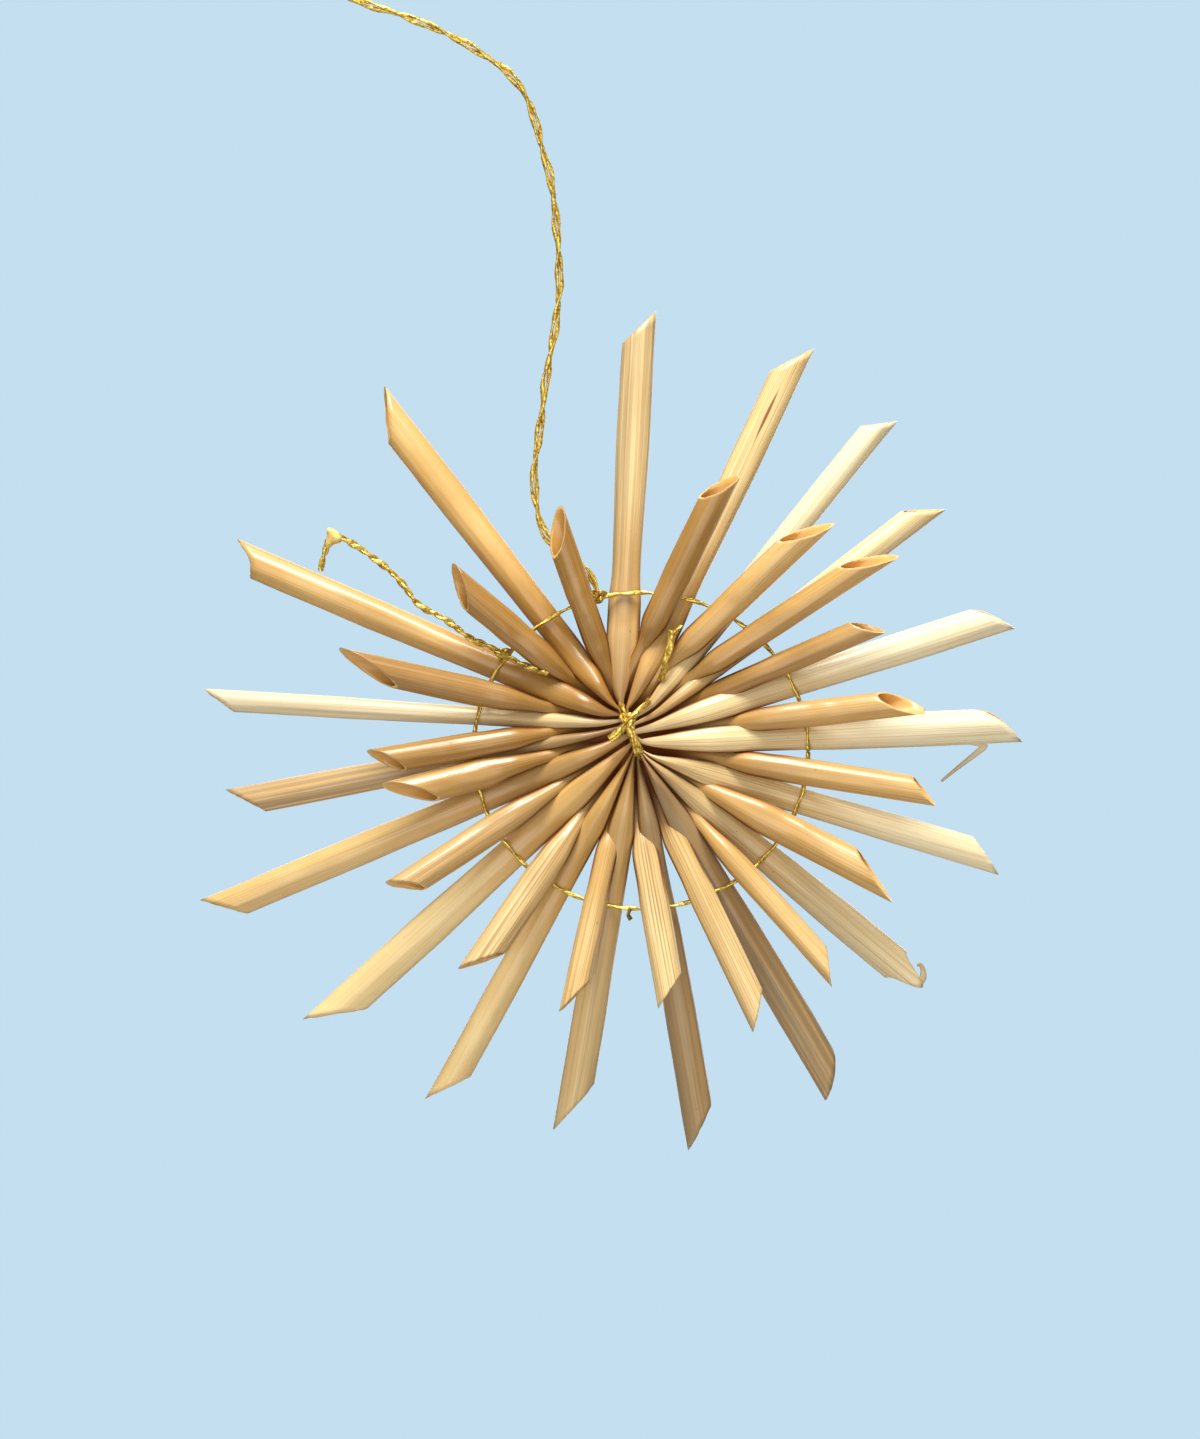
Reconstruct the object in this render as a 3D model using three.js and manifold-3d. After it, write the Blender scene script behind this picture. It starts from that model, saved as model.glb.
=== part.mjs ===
// Straw star ornament: nine long and nine short straws crossed at the middle, bound and woven with gold thread.
// Millimetres, +Z up. The star's face looks along -Y, and the origin is inside the bight of its hanging loop.

import * as THREE from 'three';
import { mergeVertices } from 'three/addons/utils/BufferGeometryUtils.js';
import Module from 'manifold-3d';

const wasm = await Module();
wasm.setup();

// Places on the star are given on its face: u to the right, v up, d towards the viewer, from the star's middle.
const MIDDLE = new THREE.Vector3(39.6, 0, -102.7);
const onFace = (u, v, d) => new THREE.Vector3(MIDDLE.x + u, -d, MIDDLE.z + v);

const ROOT_RADIUS = 8;
const BEND_FROM = 5.5;
const BEND_TO = 10.5;
const STRIP_RADIUS = 4.4;
const STRIP_HALF_DEPTH = 0.1;
const STRIP_SPACING = 0.26;
const STRIP_FIRST_LEVEL = 0.55;
const LEAST_HALF_WIDTH = 0.15;
const CLEARANCE = 0.12;
const WALL = 0.35;
const BORE_FROM = 1.5;
const SIDES = 8;

const THREAD = 0.54;
const RING = { u: 1.3, v: -2.7, across: 19.9, up: 18.8 };
const TIE = { thread: 0.42, radius: STRIP_RADIUS, reach: 3.35 };
const TIE_LEGS = { long: [117, -70.8], short: [121, -77.5] };

// A ray: angle at the root, angle at the far radius, width, tip radius, length of the slanting cut and how far
// the tip is turned round the straw, from its clockwise edge (0) towards the viewer (90) or the back (-90). A last
// number is given where the straw starts to change layers nearer the middle, as a share of the ring radius.
const FAR_RADIUS = { long: 36, short: 26 };
const RAYS = {
  long: [
    [97.3, 89.2, 4.0, 50.3, 4.3, 0],
    [73.0, 66.6, 3.7, 50.8, 4.8, -5],
    [49.5, 50.6, 3.1, 48.9, 3.3, -5, 0.42],
    [33.0, 36.3, 3.15, 46.1, 4.5, -8, 0.42],
    [12.0, 16.4, 3.8, 47.8, 3.9, -5],
    [-10.6, -0.2, 4.15, 46.6, 3.8, -5],
    [-35.0, -20.6, 3.5, 47.5, 4.3, 5],
    [-50.5, -42.0, 4.1, 46.4, 7.1, 85],
    [-63.3, -60.3, 4.05, 50.5, 5.8, 10],
    [-78.4, -79.9, 3.8, 51.2, 5.4, 8, 0.46],
    [-92.5, -98.1, 3.95, 49.1, 6.4, 5],
    [-106.5, -116.1, 3.55, 50.9, 5.1, 0],
    [-126.5, -135.2, 4.35, 52.7, 6.7, -4],
    [-150.0, -155.7, 3.75, 55.7, 4.7, 0],
    [-169.7, -169.3, 3.45, 49.1, 4.4, 0],
    [174.0, 176.0, 2.6, 51.6, 4.1, -5],
    [153.4, 156.1, 3.8, 52.4, 3.4, 0],
    [127.5, 127.8, 3.95, 50.6, 6.0, -8],
  ],
  short: [
    [112.4, 110.2, 3.2, 27.6, 5.7, -35],
    [85.2, 70.6, 3.45, 32.7, 4.6, -26],
    [61.0, 48.9, 3.4, 34.3, 6.5, -22, 0.42],
    [41.0, 35.5, 3.1, 37.8, 6.9, -24, 0.42],
    [22.5, 22.9, 2.85, 32.3, 3.6, -19],
    [0.7, 4.9, 3.2, 34.9, 5.6, -36],
    [-22.8, -13.2, 3.15, 37.2, 3.4, -12],
    [-43.3, -32.2, 3.9, 37.1, 6.9, -8],
    [-57.5, -51.0, 2.8, 38.7, 4.0, 0],
    [-70.8, -66.3, 3.25, 38.7, 4.2, 5],
    [-85.8, -81.7, 3.5, 33.2, 3.6, 0, 0.44],
    [-99.2, -101.5, 2.85, 34.7, 4.5, -8],
    [-116.3, -121.9, 3.7, 35.0, 4.9, -12],
    [-138.3, -144.4, 3.35, 34.3, 3.8, -21],
    [-159.9, -163.8, 3.7, 30.2, 6.3, -27],
    [-177.9, -172.7, 3.15, 31.2, 4.3, -27],
    [165.5, 167.0, 3.4, 35.6, 7.7, -27],
    [140.5, 140.4, 3.55, 28.6, 5.0, -25],
  ],
};

const rad = THREE.MathUtils.degToRad;
const polar = (radius, degrees) => new THREE.Vector2(radius, 0).rotateAround(new THREE.Vector2(), rad(degrees));
const clockwise = (direction) => new THREE.Vector2(direction.y, -direction.x);
const ramp = (x, from, to) => THREE.MathUtils.clamp((x - from) / (to - from), 0, 1);
const ease = (x, from, to) => THREE.MathUtils.smoothstep(x, from, to);

// Each ray's axis runs from the middle to its root, bends there, and is straight from the bend to the tip.
function makeRay(tier, row, index) {
  const [rootAngle, farAngle, width, tipRadius, cut, tipTurn, crossFrom = CROSS_FROM] = row;
  const root = polar(ROOT_RADIUS, rootAngle);
  const inward = polar(1, rootAngle);
  const outward = polar(FAR_RADIUS[tier], farAngle).sub(root).normalize();
  const along = root.dot(outward);
  const tipAt = ROOT_RADIUS - along + Math.sqrt(along ** 2 - ROOT_RADIUS ** 2 + tipRadius ** 2);
  const level = STRIP_FIRST_LEVEL + STRIP_SPACING * (index % 9);
  return { tier, index, root, inward, outward, width, tipAt, cut, tipTurn: rad(tipTurn), crossFrom, level };
}

function axisPoint(ray, s) {
  const straight = (t) => (t < ROOT_RADIUS
    ? ray.inward.clone().multiplyScalar(t)
    : ray.root.clone().addScaledVector(ray.outward, t - ROOT_RADIUS));
  if (s <= BEND_FROM || s >= BEND_TO) return straight(s);
  const bend = new THREE.QuadraticBezierCurve(straight(BEND_FROM), ray.root, straight(BEND_TO));
  return bend.getPoint((s - BEND_FROM) / (BEND_TO - BEND_FROM));
}

function axisDirection(ray, s) {
  return axisPoint(ray, s + 0.05).sub(axisPoint(ray, Math.max(s - 0.05, 0))).normalize();
}

// Distance from the middle to the ring thread, a slightly wide oval, in the direction of a point.
function ringRadius(point) {
  const towards = point.clone().normalize();
  const oval = new THREE.Vector2(1 / RING.across, 1 / RING.up);
  const step = towards.multiply(oval);
  const middle = new THREE.Vector2(RING.u, RING.v).multiply(oval);
  const along = middle.dot(step) / step.lengthSq();
  return along + Math.sqrt(along ** 2 + (1 - middle.lengthSq()) / step.lengthSq());
}

const ringShare = (ray, s) => {
  const point = axisPoint(ray, s);
  return point.length() / ringRadius(point);
};

const atShare = (ray, share) => {
  let s = RING.up * share;
  for (let step = 0; step < 6; step += 1) s *= share / ringShare(ray, s);
  return s;
};

// Long straws start in front of the short ones and pass behind them just inside the ring thread.
const PLATEAU = 1.4;
const CROSS_FROM = 0.55;
const CROSS_SPAN = 0.45;
const RING_OFFSET = 1.95;
const LEAN = 0.2;

function depth(ray, s) {
  const side = ray.tier === 'long' ? 1 : -1;
  if (s <= STRIP_RADIUS) return side * ray.level;
  const share = ringShare(ray, s);
  const plateau = THREE.MathUtils.lerp(ray.level, PLATEAU, ease(s, STRIP_RADIUS, 8.5));
  const crossing = (PLATEAU + RING_OFFSET) * ramp(share, ray.crossFrom, ray.crossFrom + CROSS_SPAN);
  const lean = LEAN * Math.max(s - ray.ringAt, 0);
  return side * (plateau - crossing - lean);
}

function halfDepth(ray, s) {
  const full = ray.width * 0.46;
  const atPinch = THREE.MathUtils.lerp(STRIP_HALF_DEPTH, 1.22, ease(s, STRIP_RADIUS, 9));
  const inner = THREE.MathUtils.lerp(atPinch, 1.4, ramp(ringShare(ray, s), 0.8, 1));
  return Math.min(THREE.MathUtils.lerp(inner, full, ease(s, ray.ringAt, ray.ringAt + 7)), Math.max(full, 1.3));
}

function distanceToAxis(point, ray) {
  let nearest = Infinity;
  for (let s = 0; s < ray.tipAt; s += 0.5) {
    nearest = Math.min(nearest, point.distanceTo(axisPoint(ray, s)));
  }
  return nearest;
}

// A straw is as wide as it grew, or as its neighbours and the tie leave it room to be.
function halfWidth(ray, s, rays) {
  const point = axisPoint(ray, s);
  const deep = halfDepth(ray, s);
  let room = ray.width / 2;
  for (const other of rays) {
    if (other === ray || (other.tier === ray.tier && other.index % 9 === ray.index % 9)) continue;
    const gap = Math.abs(depth(ray, s) - depth(other, Math.min(s, other.tipAt)));
    const apart = other.tier === ray.tier ? 0 : gap / (2 * deep + 0.1);
    if (apart >= 1) continue;
    const half = distanceToAxis(point, other) / 2 / Math.sqrt(1 - apart ** 2);
    room = Math.min(room, half - CLEARANCE);
  }
  for (const angle of TIE_LEGS[ray.tier]) {
    const leg = point.distanceTo(polar(TIE.radius, angle));
    room = Math.min(room, leg - TIE.thread / 2 - CLEARANCE);
  }
  return Math.max(room, LEAST_HALF_WIDTH);
}

function makeRays() {
  const rays = [];
  for (const tier of ['long', 'short']) {
    for (const [index, row] of RAYS[tier].entries()) rays.push(makeRay(tier, row, index));
  }
  for (const ray of rays) ray.ringAt = atShare(ray, 1);
  return rays;
}

// One closed skin from rings of points, with a single point closing each end.
function skinOver(rings, ends) {
  const sides = rings[0].length;
  const points = [...rings.flat(), ...ends];
  const last = (rings.length - 1) * sides;
  const first = points.length - 2;
  const final = points.length - 1;
  const triangles = [];
  for (let j = 0; j < sides; j += 1) {
    const k = (j + 1) % sides;
    for (let here = 0; here < last; here += sides) {
      const next = here + sides;
      triangles.push(here + j, next + j, next + k, here + j, next + k, here + k);
    }
    triangles.push(first, j, k, final, last + k, last + j);
  }
  return new wasm.Manifold(new wasm.Mesh({
    numProp: 3,
    vertProperties: new Float32Array(points.flatMap((p) => p.toArray())),
    triVerts: new Uint32Array(triangles),
  }));
}

function sectionRing(ray, s, flip, half, deep, slant = 0) {
  const direction = axisDirection(ray, Math.min(s, ray.tipAt));
  const across = clockwise(direction);
  const ring = [];
  for (let j = 0; j < SIDES; j += 1) {
    const travel = (2 * Math.PI * j) / SIDES;
    const turn = flip ? Math.PI - travel : travel;
    const share = half / (ray.width / 2);
    const at = s - (slant / 2) * (1 - share * Math.cos(turn - ray.tipTurn));
    const axis = axisPoint(ray, at).addScaledVector(across, half * Math.cos(turn));
    ring.push(onFace(axis.x, axis.y, depth(ray, at) + deep * Math.sin(turn)));
  }
  return ring;
}

// From the bottom of the bore, out along its wall, over the slanting rim and back along the outside.
function rayRings(ray, rays, flip) {
  const crossing = [0, 0.1, 0.2, 0.31].map((share) => atShare(ray, ray.crossFrom + share));
  const fullAt = Math.min(ray.ringAt + 6, ray.tipAt - ray.cut - 0.8);
  const outer = [STRIP_RADIUS, 6.2, ...crossing, ray.ringAt, fullAt];
  const full = ray.width / 2;
  const deepTip = halfDepth(ray, ray.tipAt);
  const rings = [];
  for (const s of [ray.ringAt + BORE_FROM, fullAt]) {
    rings.push(sectionRing(ray, s, flip, halfWidth(ray, s, rays) - WALL, halfDepth(ray, s) - WALL));
  }
  rings.push(sectionRing(ray, ray.tipAt, flip, full - WALL, deepTip - WALL, ray.cut));
  rings.push(sectionRing(ray, ray.tipAt, flip, full, deepTip, ray.cut));
  for (const s of outer.reverse()) {
    rings.push(sectionRing(ray, s, flip, halfWidth(ray, s, rays), halfDepth(ray, s)));
  }
  return rings;
}

function boreBottom(ray) {
  const s = ray.ringAt + BORE_FROM - 0.7;
  const axis = axisPoint(ray, s);
  return onFace(axis.x, axis.y, depth(ray, s));
}

// A straw is two rays joined by the flat strip under the tie.
function makeStraw(first, second, rays) {
  const inward = rayRings(first, rays, true);
  const outward = rayRings(second, rays, false).reverse();
  return skinOver([...inward, ...outward], [boreBottom(first), boreBottom(second)]);
}

// A closed three.js shape, with its shared points merged, as a solid that can be joined to others.
function solidFrom(shape) {
  shape.deleteAttribute('normal');
  shape.deleteAttribute('uv');
  const merged = mergeVertices(shape, 1e-3);
  return new wasm.Manifold(new wasm.Mesh({
    numProp: 3,
    vertProperties: new Float32Array(merged.attributes.position.array),
    triVerts: new Uint32Array(merged.index.array),
  }));
}

const through = (places) => new THREE.CatmullRomCurve3(places.map((p) => onFace(...p)), false, 'centripetal');

function strand(curve, thickness, steps, sides = 8) {
  const corners = Array.from({ length: sides }, (_, j) => polar(thickness / 2, (360 * j) / sides));
  return solidFrom(new THREE.ExtrudeGeometry(new THREE.Shape(corners), {
    steps, extrudePath: curve, bevelEnabled: false,
  }));
}

function closedStrand(curve, thickness, steps, sides) {
  return solidFrom(new THREE.TubeGeometry(curve, steps, thickness / 2, sides, true));
}

function lump(place, size) {
  const middle = onFace(...place);
  return solidFrom(new THREE.SphereGeometry(1, 8, 6).scale(...size).translate(...middle.toArray()));
}

// The ring thread lies flat between the two layers of straw, with its two knots and its loose ends.
function makeRingThread() {
  const round = new THREE.CatmullRomCurve3(
    Array.from({ length: 40 }, (_, i) => {
      const place = polar(1, i * 9);
      return onFace(RING.u + RING.across * place.x, RING.v + RING.up * place.y, 0);
    }),
    true,
  );
  const loopKnot = lump([-3.8, 15.7, 0], [1.15, 0.7, 0.95]);
  const tailKnot = lump([-15.1, 8.75, 0.35], [0.95, 0.85, 0.95]);
  const gluedEnd = through([[-15.1, 8.75, 0.6], [-13.2, 7.8, 1.15], [-9.8, 6.4, 1.75]]);
  const stub = through([[0.1, -21.5, 0], [-0.2, -22.2, -0.1], [0.1, -22.8, -0.2]]);
  return closedStrand(round, THREAD, 64, 6)
    .add(loopKnot)
    .add(tailKnot)
    .add(strand(gluedEnd, 0.8, 4))
    .add(strand(stub, 0.7, 2));
}

// The tie goes over the front of all straws, through one gap each side and round the back.
function makeCentreTie() {
  const leg = (angle, d) => {
    const place = polar(TIE.radius, angle);
    return onFace(place.x, place.y, d);
  };
  const [longUpper, longLower] = TIE_LEGS.long;
  const [shortUpper, shortLower] = TIE_LEGS.short;
  const round = new THREE.CatmullRomCurve3([
    leg(longUpper, 2.9), leg(longUpper, 0.5), leg(shortUpper, -0.5), leg(shortUpper, -2.9),
    onFace(-0.9, 1.6, -TIE.reach), onFace(0.4, -1.6, -TIE.reach),
    leg(shortLower, -2.9), leg(shortLower, -0.5), leg(longLower, 0.5), leg(longLower, 2.9),
    onFace(0.6, -1.6, TIE.reach), onFace(-0.4, 1.2, TIE.reach),
  ], true, 'centripetal');
  const shortEnd = through([[-0.3, 1.0, 3.5], [-1.4, 0, 3.6], [-2.6, -1.2, 3.4]]);
  const longEnd = through([[-0.3, 1.0, 3.5], [1.0, 2.0, 3.6], [2.6, 3.4, 3.3], [4.4, 7.2, 3.1], [5.0, 9.4, 3.0],
    [5.1, 11.0, 2.6], [5.9, 12.1, 2.4]]);
  return closedStrand(round, TIE.thread, 48, 6)
    .add(lump([-0.4, 1.0, 3.5], [0.9, 0.55, 0.85]))
    .add(strand(shortEnd, 0.5, 4, 6))
    .add(strand(longEnd, 0.5, 12, 6));
}

// The hanging loop is one thread laid double from the ring's knot up to an open eye at its bight.
const LOOP_ROUTE = [
  [-4.9, 18.3], [-7.6, 20.8], [-10.0, 22.9], [-11.2, 27.1], [-11.4, 30.1], [-10.6, 36.5], [-10.0, 41.5],
  [-9.0, 47.1], [-8.4, 52.6], [-8.7, 59.0], [-9.3, 64.5], [-10.6, 69.6], [-12.0, 74.3], [-14.2, 77.7],
  [-17.6, 80.2], [-20.9, 82.2], [-25.7, 84.3], [-30.8, 86.0], [-35.1, 87.5], [-37.1, 88.8], [-38.6, 90.7],
  [-39.3, 93.2],
];
const LOOP_STRAND_OFFSET = 0.36;
const EYE = [[-40.9, 96.5], [-41.7, 99.6], [-41.2, 102.2], [-39.6, 103.0], [-38.0, 102.2], [-37.4, 99.6],
  [-38.3, 96.5]];

function makeHangingLoop() {
  const route = LOOP_ROUTE.map(([u, v]) => new THREE.Vector2(u, v));
  const side = (sign) => route.map((place, i) => {
    const before = route[Math.max(i - 1, 0)];
    const after = route[Math.min(i + 1, route.length - 1)];
    const across = clockwise(after.clone().sub(before).normalize());
    return place.clone().addScaledVector(across, sign * LOOP_STRAND_OFFSET);
  });
  const places = [...side(-1), ...EYE.map(([u, v]) => new THREE.Vector2(u, v)), ...side(1).reverse()];
  return strand(through(places.map((p) => [p.x, p.y, 0])), THREAD, 80);
}

// The stiff tail of twisted thread ends in a drop of glue at its bend and a short tip beyond.
const TAIL = 0.95;

function makeThreadTail() {
  const route = [[-16.5, 9.6, 0.9], [-18.7, 10.5, 0.9], [-22.1, 13.0, 0.85], [-25.0, 14.6, 0.8],
    [-27.7, 17.9, 0.75], [-30.5, 20.2, 0.7], [-33.0, 21.9, 0.65]];
  return strand(through(route), TAIL, 14);
}

function makeGlueDrop() {
  const outline = new THREE.Shape([[-35.7, 24.0], [-35.2, 23.9], [-33.5, 22.6], [-34.4, 21.9], [-35.3, 21.5],
    [-36.2, 21.5], [-36.0, 23.3]].map(([u, v]) => new THREE.Vector2(u, v)));
  const points = outline.getPoints();
  const bulge = (scale, d) => points.map((p) => {
    const middle = new THREE.Vector2(-35.2, 22.6);
    const place = middle.lerp(p, scale);
    return onFace(place.x, place.y, d);
  });
  return skinOver(
    [bulge(0.7, 0.1), bulge(1, 0.4), bulge(1, 0.95), bulge(0.7, 1.25)],
    [onFace(-35.2, 22.6, 0.05), onFace(-35.2, 22.6, 1.3)],
  );
}

function makeThreadTip() {
  return strand(through([[-36.25, 21.0, 0.65], [-36.55, 20.0, 0.65], [-36.8, 18.7, 0.65]]), TAIL, 3);
}

const STRAW_COLOURS = ['#d9bd8a', '#e0c890', '#dcbf85', '#d8b67c', '#e2cc9c', '#d6ba8c', '#dcc495', '#d2b483',
  '#cfae7a'];
const GOLD = { color: '#c9a544', roughness: 0.35, metalness: 0.8 };
const GLUE = { color: '#dccb8f', roughness: 0.4, metalness: 0 };

function toMesh(name, solid, finish) {
  const { numProp, vertProperties, triVerts } = solid.getMesh();
  const positions = new Float32Array((vertProperties.length / numProp) * 3);
  for (let i = 0; i < positions.length; i += 1) {
    positions[i] = vertProperties[Math.floor(i / 3) * numProp + (i % 3)];
  }
  const geometry = new THREE.BufferGeometry();
  geometry.setAttribute('position', new THREE.BufferAttribute(positions, 3));
  geometry.setIndex(new THREE.BufferAttribute(new Uint32Array(triVerts), 1));
  geometry.computeVertexNormals();
  const mesh = new THREE.Mesh(geometry, new THREE.MeshStandardMaterial(finish));
  mesh.name = name;
  return mesh;
}

const star = new THREE.Group();
star.name = 'straw_star';

const rays = makeRays();
for (const tier of ['long', 'short']) {
  const tierRays = rays.filter((ray) => ray.tier === tier);
  for (let k = 0; k < 9; k += 1) {
    const finish = { color: STRAW_COLOURS[k], roughness: 0.55, metalness: 0 };
    star.add(toMesh(`${tier}_straw_${k + 1}`, makeStraw(tierRays[k], tierRays[k + 9], rays), finish));
  }
}
star.add(toMesh('ring_thread', makeRingThread(), GOLD));
star.add(toMesh('centre_tie', makeCentreTie(), GOLD));
star.add(toMesh('hanging_loop', makeHangingLoop(), GOLD));
star.add(toMesh('thread_tail', makeThreadTail(), GOLD));
star.add(toMesh('glue_drop', makeGlueDrop(), GLUE));
star.add(toMesh('thread_tip', makeThreadTip(), GOLD));

export default star;
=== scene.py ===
import math
from types import SimpleNamespace

import bmesh
import bpy
import numpy as np
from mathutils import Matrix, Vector


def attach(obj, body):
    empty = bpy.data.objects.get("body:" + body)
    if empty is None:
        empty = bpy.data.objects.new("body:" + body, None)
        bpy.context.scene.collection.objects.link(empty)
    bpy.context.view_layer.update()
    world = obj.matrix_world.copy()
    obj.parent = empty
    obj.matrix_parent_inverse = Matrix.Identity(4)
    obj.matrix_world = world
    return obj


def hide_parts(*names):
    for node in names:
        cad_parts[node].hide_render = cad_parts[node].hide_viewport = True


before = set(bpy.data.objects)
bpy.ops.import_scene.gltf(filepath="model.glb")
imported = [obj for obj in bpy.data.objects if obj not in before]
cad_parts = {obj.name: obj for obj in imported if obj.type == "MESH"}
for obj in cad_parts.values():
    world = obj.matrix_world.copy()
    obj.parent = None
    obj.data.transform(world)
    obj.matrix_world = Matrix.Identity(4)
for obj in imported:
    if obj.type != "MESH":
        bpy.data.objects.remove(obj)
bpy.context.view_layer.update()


# The straws: eighteen hollow rye culms in two layers of nine, long ones in front at the middle and short
# ones behind. Each was soaked, pressed flat at its middle and cut slantwise at both ends, so it gives two
# rays. The tie holds them at the middle, and the ring thread makes the two layers change places.

# Where the rays lie: lengths in mm from the middle of the star, whose place in the frame comes first.
MIDDLE = (39.6, -102.7)
ROOT_RADIUS, FAR_RADIUS = 8.0, {"long": 36.0, "short": 26.0}
BEND_SETBACK, BEND_REACH = 4.5, 1.2
TIE_HEADING, TIE_SPREAD = np.array([0.37, -0.93]), 0.6
RING = SimpleNamespace(middle=np.array([1.3, -2.7]), reach=np.array([19.9, 18.8]))
STRIP_RADIUS, PLATEAU_RADIUS = 4.4, 8.5
STRIP_FIRST_LEVEL, STRIP_SPACING = 0.55, 0.26
PLATEAU, RING_OFFSET, LEAN, LEAN_EASE = 1.4, 1.95, 0.2, 6.0
CROSS_FROM, CROSS_SPAN = 0.28, 0.57
BEND_SHIFTS = (-1.6, -0.8, 0.0, 0.8, 1.6)
NEAREST, SAMPLE, BLUR = 0.1, 0.25, 15

# How thick they are: the wall, then half depths at the tie, inside the ring thread, at it, and the most that
# a thin straw has, where they open, and the share of the width that is half the depth outside.
WALL, RIM_ROUNDING = 0.2, 0.04
STRIP_HALF_DEPTH, INNER_HALF_DEPTH, RING_HALF_DEPTH, MOST_HALF_DEPTH = 0.1, 1.25, 1.4, 1.3
OPENING_RADII, RING_APPROACH, ROUNDING_LENGTH = (1.0, 7.5), (0.8, 1.0), 7.0
HALF_DEPTH_SHARE = 0.46
LEAST_BORE = (0.05, 0.04)

# How wide they are: what a pressed long straw keeps of its width, by distance from the middle, and how a
# short straw fills the gap between two long ones and spreads like a wedge as it comes out of it.
KEPT_WIDTH = (
    (0.0, 3.0, 5.0, 7.1, 9.5, 12.0, 20.0, 26.0, 34.0),
    (0.12, 0.3, 0.48, 0.66, 0.8, 0.84, 0.86, 0.92, 1.0),
)
LEAST_HALF_WIDTH = {"long": 0.12, "short": 0.75}
CLEARANCE, SQUEEZE_END = 0.07, (0.7, 1.2)
GAP_OVERLAP, MOST_SHARE = 0.08, 0.92
WEDGE, WEDGE_SHIFT = (5.5, 18.5), 20.0

# Their ends and their colour along the way: riper, browned by the pressing and folded inside the ring. The
# brown and the riper tone near the middle are also painted shade, for the valleys between the rays and the
# straws that lie behind others.
SLANT_REACH, TORN_LENGTH = 2.4, 1.5
# The riper tone towards the middle is partly painted shade: it reaches out past the ring thread to darken
# where the straws shade one another.
RIPER_AND_SHADED_INSIDE, RIPER_AND_SHADED_SPAN = {"long": 0.9, "short": 0.5}, (9.0, 31.0)
PRESSED_SHADE_SPAN, FOLDED_SHADE_SPAN = (-0.05, 0.22), (0.75, 1.05)
LONG_PRESSED_SHADE, LONG_PRESSED_SHADE_SPAN = 0.3, (3.0, 9.0)

# How many rings their skin has, and how far apart their patterns lie.
BORE_SETBACK, BORE_CLOSED = 1.0, 5.0
BORE_RINGS, OUTSIDE_RINGS, CROSSING_RINGS = 18, 28, 24
STRIP_RINGS = (STRIP_RADIUS, 3.6, 2.8, 2.0, 1.3, 0.7)
GRAIN_APART = 150.0

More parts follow.
